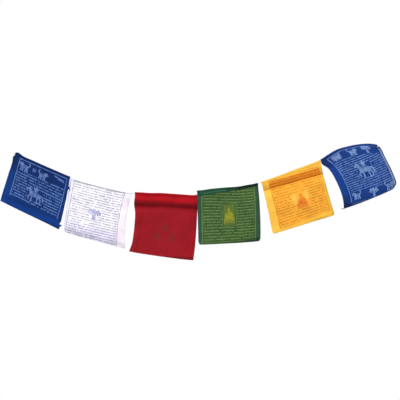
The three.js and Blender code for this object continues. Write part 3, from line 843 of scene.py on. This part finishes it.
PRINTS = {
    "blue_left": Print(
        cloth=(13, 47, 108), ink=(112, 145, 205), figure=(118, 146, 204),
        left=(0.112, 0.122), right=(0.953, 0.925), top=0.045, bottom=0.86, frame_sides="LRT",
        pitch=8.0, glyph=3.3, row_tilt=(0, 0.1), row_rise=0, gaps=0.13,
        tints=[
            # Painted shade and painted light: darker along the top and the upper left margin, lighter along
            # the bottom and the lower left margin.
            Tint(-0.1, 0.88, 1.1, 1.1, 0, 0.03, (10, 58, 134), 0.7),
            Tint(-0.1, 0.35, 0.10, 1.1, 0, 0.04, (12, 62, 138), 0.6),
            Tint(-0.1, -0.3, 1.1, 0.035, 0, 0.02, (12, 32, 78), 0.65),
            Tint(-0.1, 0.0, 0.10, 0.22, 0, 0.05, (12, 34, 80), 0.6),
            Tint(0.28, 0.06, 0.95, 0.25, 0, 0.03, (12, 36, 88), 0.55),
        ],
        rules=[Rule(0.74, 0.09, 0.90, 0.125, 1.6), Rule(0.80, 0.125, 0.91, 0.145, 0.9)],
        motifs=[Motif("beast", 0.215, 0.16, 1.45, 1), Motif("roundel", 0.385, 0.15, 0.85, 1),
                Motif("beast", 0.54, 0.175, 1.3, -1), Motif("horse", 0.5, 0.6, 1.15, 1)],
        clears=[Clear(0.1, 0.045, 0.95, 0.26), Clear(0.37, 0.48, 0.63, 0.72)],
        strength=0.8, figure_strength=0.75, edge_shade=0.45,
    ),
    "white": Print(
        cloth=(244, 242, 250), ink=(124, 118, 138), figure=(132, 132, 196),
        left=(0.066, 0.028), right=(0.893, 0.867), top=0.022, bottom=1.06, frame_sides="LRT",
        pitch=7.2, glyph=2.9, row_tilt=(0, 0), row_rise=0, gaps=0.12,
        tints=[
            Tint(0.9, 0.1, 1.1, 1.1, 0, 0.02, (238, 224, 238), 0.8),
            Tint(-0.1, 0, 0.03, 1.1, 0, 0.02, (218, 216, 246), 0.75),
            Tint(0.03, 0.78, 0.87, 1.1, 0, 0.08, (222, 216, 244), 0.75),
        ],
        rules=[],
        motifs=[Motif("bird", 0.465, 0.525, 1.6, 1)],
        clears=[Clear(0.385, 0.43, 0.55, 0.62)],
        strength=0.95, figure_strength=0.8, edge_shade=0.1,
    ),
    "red": Print(
        cloth=(148, 20, 31), ink=(120, 12, 22), figure=(102, 44, 34),
        left=(0.06, 0.06), right=(0.94, 0.94), top=0.26, bottom=0.95, frame_sides="",
        pitch=8.4, glyph=3.6, row_tilt=(0, 0), row_rise=0, gaps=0.1,
        tints=[
            # Painted highlight on the top of the rolled hem, then painted shade in the crease below it.
            Tint(-0.1, -0.2, 1.1, 0.135, -0.01, 0.02, (164, 4, 18), 0.75),
            Tint(-0.1, 0.155, 1.1, 0.225, -0.01, 0.018, (128, 2, 14), 0.6),
            Tint(0.85, 0.25, 1.1, 1.1, 0, 0.1, (160, 18, 32), 0.5),
        ],
        rules=[],
        motifs=[Motif("figure", 0.494, 0.53, 0.95, 1), Motif("figure", 0.385, 0.68, 0.95, 1),
                Motif("figure", 0.609, 0.685, 0.95, 1)],
        clears=[Clear(0.44, 0.42, 0.55, 0.58), Clear(0.33, 0.58, 0.66, 0.74)],
        strength=0.3, figure_strength=0.55, edge_shade=0.45,
    ),
    "green": Print(
        cloth=(48, 82, 60), ink=(120, 154, 92), figure=(150, 146, 34),
        left=(0.074, 0.062), right=(0.933, 0.915), top=0.03, bottom=1.04, frame_sides="LR",
        pitch=8.1, glyph=3.4, row_tilt=(0.135, 0.135), row_rise=0.02, gaps=0.05,
        tints=[
            Tint(0.074, 0.03, 0.925, 1.03, 0, 0.015, (58, 82, 34), 0.8),
            # Painted light and shade on the turned-over flap: the flap darker, a painted highlight near its
            # edge, and painted shadow under its right part.
            Tint(-0.1, -0.4, 1.1, -0.012, 0, 0.006, (26, 70, 50), 0.8),
            Tint(0.05, -0.105, 0.8, -0.085, 0.03, 0.012, (62, 112, 82), 0.7),
            Tint(0.48, -0.2, 1.1, -0.004, 0, 0.01, (12, 30, 22), 0.5),
            Tint(0.66, -0.2, 1.1, 0.03, 0, 0.012, (10, 26, 18), 0.7),
            Tint(0.413, 0.302, 0.589, 0.673, 0, 0.005, (92, 112, 46), 0.9),
        ],
        rules=[Rule(0.395, 0.29, 0.395, 0.69, 0.6), Rule(0.611, 0.29, 0.611, 0.69, 0.6),
               Rule(0.395, 0.69, 0.611, 0.69, 0.5), Rule(0.395, 0.29, 0.611, 0.29, 0.5)],
        motifs=[Motif("figure", 0.501, 0.53, 1.3, 1)],
        clears=[Clear(0.388, 0.28, 0.618, 0.70)],
        strength=0.7, figure_strength=0.8, edge_shade=0.45,
    ),
    "yellow": Print(
        cloth=(250, 190, 72), ink=(178, 90, 10), figure=(214, 84, 34),
        left=(0.112, 0.135), right=(0.948, 0.95), top=0.03, bottom=0.935, frame_sides="LR",
        pitch=7.4, glyph=3.0, row_tilt=(0.12, 0), row_rise=0, gaps=0.1,
        tints=[
            Tint(0.125, 0.16, 0.945, 0.94, 0, 0.015, (238, 158, 46), 0.7),
            Tint(0.115, 0.02, 0.955, 0.15, 0.085, 0.012, (228, 124, 20), 0.75),
            # Painted shadow in the crease below the upper band.
            Tint(-0.1, 0.143, 1.1, 0.166, 0.085, 0.012, (186, 100, 12), 0.6),
            Tint(0.41, 0.41, 0.48, 0.58, 0, 0.04, (254, 208, 98), 0.6),
            Tint(0.63, 0.41, 0.69, 0.57, 0, 0.04, (254, 208, 98), 0.6),
            Tint(0.965, 0.1, 1.1, 1.1, 0, 0.015, (206, 158, 36), 0.6),
            Tint(-0.1, 0.96, 1.1, 1.1, 0, 0.015, (206, 158, 36), 0.5),
        ],
        rules=[],
        motifs=[Motif("figure", 0.56, 0.6, 1.3, 1)],
        clears=[Clear(0.43, 0.41, 0.68, 0.72)],
        strength=0.8, figure_strength=0.85, edge_shade=0.12,
    ),
    "blue_right": Print(
        cloth=(23, 57, 126), ink=(118, 152, 208), figure=(132, 160, 212),
        left=(0.1, 0.15), right=(0.95, 0.945), top=0.03, bottom=0.985, frame_sides="",
        pitch=6.7, glyph=3.2, row_tilt=(-0.19, -0.12), row_rise=0.122, gaps=0.05,
        tints=[
            # Painted shade and painted light down the left margin: darker at the top and the bottom, lighter
            # between.
            Tint(-0.1, -0.2, 0.10, 0.2, 0, 0.05, (14, 36, 84), 0.7),
            Tint(-0.1, 0.3, 0.12, 0.8, 0, 0.06, (16, 62, 142), 0.6),
            Tint(-0.1, 0.85, 0.14, 1.1, 0, 0.05, (16, 40, 90), 0.6),
            Tint(0.135, 0.05, 0.28, 0.15, 0, 0.012, (110, 132, 186), 0.7),
            Tint(0.3, 0.022, 0.97, 0.042, 0, 0.006, (104, 126, 172), 0.6),
            Tint(0.947, 0.03, 0.978, 1.1, 0, 0.005, (136, 154, 192), 0.85),
        ],
        rules=[
            Rule(0.085, 0.05, 0.112, 0.25, 1.0), Rule(0.112, 0.25, 0.128, 0.45, 1.0),
            Rule(0.128, 0.45, 0.135, 0.7, 1.0), Rule(0.135, 0.7, 0.15, 0.985, 1.0),
            Rule(0.085, 0.05, 0.3, 0.04, 0.9),
        ],
        motifs=[Motif("beast", 0.21, 0.105, 1.0, 1), Motif("beast", 0.49, 0.105, 1.15, -1),
                Motif("bird", 0.745, 0.09, 1.1, 1), Motif("beast", 0.26, 0.885, 1.1, 1),
                Motif("bird", 0.565, 0.885, 1.1, 1), Motif("beast", 0.87, 0.85, 1.35, -1),
                Motif("horse", 0.54, 0.47, 1.2, 1)],
        clears=[Clear(0.12, 0.03, 0.97, 0.19), Clear(0.15, 0.81, 0.45, 0.99), Clear(0.45, 0.81, 0.97, 0.99),
                Clear(0.41, 0.35, 0.67, 0.6)],
        strength=0.85, figure_strength=0.8, edge_shade=0.5,
    ),
}
FRAME_LINE = 2.1
BACK_GHOST = 0.28
# Width in millimetres of the rim of painted shade along the raw edges
PAINTED_EDGE_WIDTH = 2.2
YARN_PITCH = 0.62

# Wear of the print and depth of the dye: the share that varies, and how often in a millimetre
Mottle = namedtuple("Mottle", "share rate")
WEAR = Mottle(0.45, 0.09)
GRAIN = Mottle(0.35, 1.1)
DYE = Mottle(0.34, 0.022)
STREAK_SHARE = 0.20


def box_field(u, v, clear, soft):
    return band(u, clear.u0, clear.u1, soft) * band(v, clear.v0, clear.v1, soft)


def laid_rows(spec, u, v):
    """v as the printed rows have it, where the block was laid askew or the flag's top edge is arched."""
    top_tilt, bottom_tilt = spec.row_tilt
    if not (top_tilt or bottom_tilt or spec.row_rise):
        return v
    place = v + (1 - u) * ((1 - v) * top_tilt + v * bottom_tilt)
    return place - u * (1 - u) * (1 - v) * (4 * spec.row_rise)


def print_inks(tree, flag, spec, u, v, groups, seed):
    """Ink of the script and lines, and ink of the motifs, over one flag."""
    width, length = flag_size(flag)
    left = v * (spec.left[1] - spec.left[0]) + spec.left[0]
    right = v * (spec.right[1] - spec.right[0]) + spec.right[0]
    inside = ramp(u - left, 0.012, 0.018) * ramp(right - u, 0.012, 0.018)
    row_place = laid_rows(spec, u, v)
    inside = inside * ramp(v - spec.top, 0.009, 0.015) * ramp(row_place - spec.bottom, -0.005, -0.011)
    x, y = (u - left) * width, (row_place - spec.top) * length
    script = use_group(tree, groups["script"], x, y, spec.pitch, spec.glyph, float(seed), spec.gaps)[0]
    script = script * inside
    for clear in spec.clears:
        script = script * (1 - box_field(u, v, clear, 0.004))
    half = FRAME_LINE / 2
    rows = ramp(v - spec.top, -0.003, 0.003) * ramp(row_place - spec.bottom, 0.003, -0.003)
    lines = None
    sides = {"L": (u - left) * width, "R": (u - right) * width, "T": (v - spec.top) * length}
    for letter, distance in sides.items():
        if letter not in spec.frame_sides:
            continue
        reach = rows if letter in "LR" else band(u, spec.left[0], spec.right[0], 0.004)
        line = band(distance, -half, half, 0.35) * reach
        lines = line if lines is None else lines.math("MAXIMUM", line)
    if spec.rules:
        strokes = [
            Stroke(rule.u0 * width, rule.v0 * length, rule.u1 * width, rule.v1 * length, rule.radius)
            for rule in spec.rules
        ]
        ruled = ramp(stroke_distance(tree, combine(tree, u * width, v * length), strokes), 0.4, -0.4)
        lines = ruled if lines is None else lines.math("MAXIMUM", ruled)
    ink = script if lines is None else script.math("MAXIMUM", lines)

    figures = None
    for motif in spec.motifs:
        place_x = (u - motif.u) * (width / motif.size * motif.flip)
        place_y = (v - motif.v) * (-length / motif.size)
        figure = use_group(tree, groups[motif.kind], combine(tree, place_x, place_y))[0]
        figures = figure if figures is None else figures.math("MAXIMUM", figure)
    return ink, figures


def tinted_cloth(tree, spec, u, v):
    """The dyed cloth's colour under its tinted boxes, some of which are painted shade and painted highlight.
    """
    colour = srgb(*spec.cloth)
    for tint in spec.tints:
        level = v - u * tint.slant
        share = box_field(u, level, tint, tint.soft) * tint.share
        colour = mix(tree, share, colour, srgb(*tint.colour))
    return colour


def cloth_material(flag, spec, groups, seed):
    material, tree, shader = new_material("cotton_" + flag.name)
    width, length = flag_size(flag)
    source = tree.nodes.new("ShaderNodeUVMap")
    source.uv_map = "cloth"
    split = tree.nodes.new("ShaderNodeSeparateXYZ")
    tree.links.new(source.outputs[0], split.inputs[0])
    u, v = Field(tree, split.outputs[0]), Field(tree, split.outputs[1])
    attribute = tree.nodes.new("ShaderNodeAttribute")
    attribute.attribute_name = "printed"
    printed = Field(tree, attribute.outputs["Fac"])
    x, y = u * width, v * length

    ink, figures = print_inks(tree, flag, spec, u, v, groups, seed)
    side = printed * (1 - BACK_GHOST) + BACK_GHOST
    wear = ramp(noise(tree, x * WEAR.rate + seed, y * WEAR.rate, 3.0), 0.25, 0.62)
    wear = wear * WEAR.share + (1 - WEAR.share)
    grain = ramp(noise(tree, x * GRAIN.rate, y * GRAIN.rate + seed, 1.0), 0.2, 0.5)
    grain = grain * GRAIN.share + (1 - GRAIN.share)
    coat = side * wear * grain

    height, streak = use_group(tree, groups["weave"], x, y)
    dye = noise(tree, x * DYE.rate + 3.0 * seed, y * DYE.rate, 2.0) - 0.5
    shade = dye * DYE.share + streak * STREAK_SHARE + 1.0
    # Painted shade: a rim along the side and bottom edges is darkened, standing in for the shade of curled
    # edges.
    edge = u.math("MINIMUM", 1 - u) * width
    edge = edge.math("MINIMUM", (1 - v) * length)
    shade = shade * (ramp(edge, 0.0, PAINTED_EDGE_WIDTH) * spec.edge_shade + (1 - spec.edge_shade))

    colour = mix(tree, ink * coat * spec.strength, tinted_cloth(tree, spec, u, v), srgb(*spec.ink))
    colour = mix(tree, figures * coat * spec.figure_strength, colour, srgb(*spec.figure))
    connect(tree, shader.inputs["Base Color"], vector_math(tree, "SCALE", colour, shade))

    connect(tree, shader.inputs["Roughness"], streak * 0.15 + 0.88 - ink * 0.06)
    add_bump(tree, shader, height + streak * 0.8, strength=0.35, distance=0.25 * MM)
    shader.inputs["Specular IOR Level"].default_value = 0.12
    shader.inputs["Sheen Weight"].default_value = 0.03
    shader.inputs["Sheen Roughness"].default_value = 0.5
    return material


def thread_material(name, colour):
    """Twisted yarn: a plain colour with uneven fibres."""
    material, tree, shader = new_material(name)
    source = tree.nodes.new("ShaderNodeTexCoord")
    fibres = tree.nodes.new("ShaderNodeTexNoise")
    fibres.inputs["Scale"].default_value = 900.0
    fibres.inputs["Detail"].default_value = 3.0
    tree.links.new(source.outputs["Object"], fibres.inputs["Vector"])
    fibre = Field(tree, fibres.outputs[0])
    mixed = mix(tree, ramp(fibre, 0.3, 0.7), darker(colour, FIBRE_SHADE), colour)
    connect(tree, shader.inputs["Base Color"], mixed)
    connect(tree, shader.inputs["Roughness"], fibre * 0.2 + 0.78)
    add_bump(tree, shader, fibre, strength=0.4, distance=0.2 * MM)
    shader.inputs["Specular IOR Level"].default_value = 0.2
    return material


# Camera, cord and light

def make_camera():
    data = bpy.data.cameras.new("camera")
    data.sensor_fit = "HORIZONTAL"
    data.angle = 2 * math.atan(VIEW_WIDTH / 2 / CAMERA_DISTANCE)
    camera = bpy.data.objects.new("camera", data)
    camera.location = (VIEW_CENTRE[0], VIEW_CENTRE[1] - CAMERA_DISTANCE, VIEW_CENTRE[2])
    camera.rotation_euler = (math.pi / 2, 0, 0)
    bpy.context.scene.collection.objects.link(camera)
    bpy.context.scene.camera = camera


def plies(line, pitch, offset, radius, splay=0.0):
    """The twisted plies of a cord along a line. The last stretch may splay apart."""
    line = np.asarray(line, float)
    side, other = tube_frames(line)
    along = distance_along(line)
    ends = np.exp(-along / TAIL_LENGTH) + np.exp(-(along[-1] - along) / TAIL_LENGTH)
    reach = offset + splay * ends
    made = []
    for ply in range(PLY_COUNT):
        angle = 2 * math.pi * (along / pitch + ply / PLY_COUNT)
        centre = line + side * (np.cos(angle) * reach)[:, None] + other * (np.sin(angle) * reach)[:, None]
        made.append(tube(centre, radius, PLY_SIDES))
    return made


def knot_line(x):
    """A closed overhand-like knot around the cord at x."""
    slope = cord_slope(x)
    along = np.array([1, 0, slope]) / math.hypot(1, slope)
    side = np.array([0, 1, 0])
    other = np.cross(along, side)
    turn = np.linspace(0, 2 * KNOT_TURNS * math.pi, KNOT_STEPS)
    ring = KNOT_RADIUS * (2 + np.cos(KNOT_WEAVE * turn)) / 2
    centre = np.array([x, 0, cord_height(x)])
    spin = side[None] * (ring * np.cos(turn))[:, None] + other[None] * (ring * np.sin(turn))[:, None]
    return centre + spin + along[None] * (KNOT_RADIUS * np.sin(KNOT_WEAVE * turn) / 2)[:, None]


def make_cord(material):
    line = cord_line(PLY_STEP)
    cord_tubes = plies(line, PLY_PITCH, PLY_OFFSET, PLY_RADIUS, splay=END_SPLAY)
    cord = joined_tubes("twisted_cord", cord_tubes, material)
    knot_tubes = []
    for x in (STRING_ROUTE[0, 0] + KNOT_FROM_END, STRING_ROUTE[-1, 0] - KNOT_FROM_END):
        knot_tubes += plies(knot_line(x), KNOT_PLY_PITCH, KNOT_PLY_OFFSET, KNOT_PLY_RADIUS)
    knots = joined_tubes("end_knots", knot_tubes, material)
    for piece in (cord, knots):
        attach(piece, "root")
    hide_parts("cord")


def stitch_tubes(flag, seed):
    """Short stitches along the hem, each a thread that dips into the cloth at both ends."""
    width, _ = flag_size(flag)
    left, right = side_lengths(flag)
    made = []
    count = int((width - 4) / STITCH_PITCH)
    lift = CLOTH_THICKNESS / 2 + STITCH_RADIUS * 0.4
    for side in (BACK, FRONT):
        for stitch in range(count):
            share = np.linspace(0, 1, 5)
            u = (2 + stitch * STITCH_PITCH + share * STITCH_LENGTH) / width
            depth = hem_depth(flag, u)
            drop = np.maximum(depth - STITCH_ABOVE_EDGE, depth * 0.55) - hem_lift(flag, u)
            on_sheet = side != flag.hem_side
            offset = layer_offset(drop) if on_sheet else -layer_offset(drop)
            points = surface_point(flag, u, drop, offset, left + (right - left) * u, seed)
            points[:, 1] += side * (lift - np.abs(2 * share - 1) ** 3 * 2 * STITCH_RADIUS)
            made.append(tube(points, STITCH_RADIUS, 5))
    return made


def fray_tubes(flag, points, seed):
    """Loose thread ends along the raw side and bottom edges, and the longer one at a corner."""
    pick = np.random.default_rng(seed + 50)
    first_row = FLAP_ROWS + LOOP_ROWS + FRAY_FIRST_ROW
    down = np.array([0, 0, -1.0])
    made = []
    edges = [
        (points[0, first_row:], points[1, first_row:]),
        (points[-1, first_row:], points[-2, first_row:]),
        (points[:, -1], points[:, -2]),
    ]
    for edge, inner in edges:
        for index in pick.choice(len(edge) - 2, FRAY_COUNT, replace=False) + 1:
            outward = edge[index] - inner[index]
            outward /= np.linalg.norm(outward)
            along = edge[index + 1] - edge[index - 1]
            along /= np.linalg.norm(along)
            reach = pick.uniform(*FRAY_REACH)
            lean = pick.uniform(-FRAY_LEAN, FRAY_LEAN)
            steps = np.linspace(0, 1, 6)[:, None]
            line = edge[index] + outward * (steps * reach - FRAY_ROOT) + along * (steps ** 2 * lean * reach)
            line = line + down * steps ** 2 * pick.uniform(*FRAY_DROOP)
            line[:, 1] += (steps[:, 0] ** 2) * pick.uniform(-FRAY_SWAY, FRAY_SWAY)
            made.append(tube(line, FRAY_RADIUS, 4))
    if flag.name in CORNER_THREADS:
        reach_x, reach_z = CORNER_THREADS[flag.name]
        steps = np.linspace(0, 1, 8)
        across = 1 + steps * (reach_x - 1)
        up = 1 + steps ** 0.6 * (reach_z - 1)
        line = points[0, -1] + np.stack([across, 0 * steps, up], axis=1)
        made.append(tube(line, CORNER_THREAD_RADIUS * (1 - 0.25 * steps), 6))
    return made


def make_flag(flag, number, groups):
    seed = 10 * number + 3
    spec = PRINTS[flag.name]
    width, length = flag_size(flag)
    points, u, along = flag_surface(flag, seed)
    material = cloth_material(flag, spec, groups, seed)
    cloth = cloth_object("cloth_" + flag.name, points, u, along, width, length, material)
    thread = thread_material("thread_" + flag.name, darker(srgb(*spec.cloth), THREAD_SHADE))
    stitches = joined_tubes("stitches_" + flag.name, stitch_tubes(flag, seed), thread)
    fray = joined_tubes("fray_" + flag.name, fray_tubes(flag, points, seed), thread)
    for piece in (cloth, stitches, fray):
        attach(piece, "root")
    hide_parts("flag_" + flag.name)
    turned = (flag.hem[0] + flag.hem[1]) / 2 + math.pi * LOOP_RADIUS
    (length + turned) * MM


def make_floor():
    mesh = bpy.data.meshes.new("floor")
    low, high = FLOOR_X
    front = [(low, -FLOOR_DEPTH, FLOOR_LEVEL), (high, -FLOOR_DEPTH, FLOOR_LEVEL)]
    back = [(high, FLOOR_DEPTH, FLOOR_LEVEL), (low, FLOOR_DEPTH, FLOOR_LEVEL)]
    mesh.from_pydata(front + back, [], [(0, 1, 2, 3)])
    floor = bpy.data.objects.new("floor", mesh)
    material, _, shader = new_material("pale_floor")
    shader.inputs["Base Color"].default_value = FLOOR_COLOUR
    shader.inputs["Roughness"].default_value = 0.9
    mesh.materials.append(material)
    bpy.context.scene.collection.objects.link(floor)


def make_light():
    scene = bpy.context.scene
    scene.view_settings.view_transform = "Standard"
    world = bpy.data.worlds.new("studio")
    scene.world = world
    world.use_nodes = True
    tree = world.node_tree
    background = tree.nodes["Background"]
    background.inputs["Color"].default_value = (1, 1, 1, 1)
    seen = tree.nodes.new("ShaderNodeLightPath").outputs["Is Camera Ray"]
    connect(tree, background.inputs["Strength"], Field(tree, seen) * (1 - FILL_LIGHT) + FILL_LIGHT)
    data = bpy.data.lights.new("key", "SUN")
    data.energy = KEY_LIGHT
    data.angle = KEY_SPREAD
    key = bpy.data.objects.new("key", data)
    key.rotation_euler = KEY_TURN
    scene.collection.objects.link(key)


make_camera()
make_cord(thread_material("cotton_cord", srgb(250, 249, 246)))
make_light()
make_floor()
node_groups = {name: motif_group(name, *strokes) for name, strokes in MOTIFS.items()}
node_groups["script"] = script_group()
node_groups["weave"] = weave_group()
for flag_number, flag_row in enumerate(FLAGS):
    make_flag(flag_row, flag_number, node_groups)
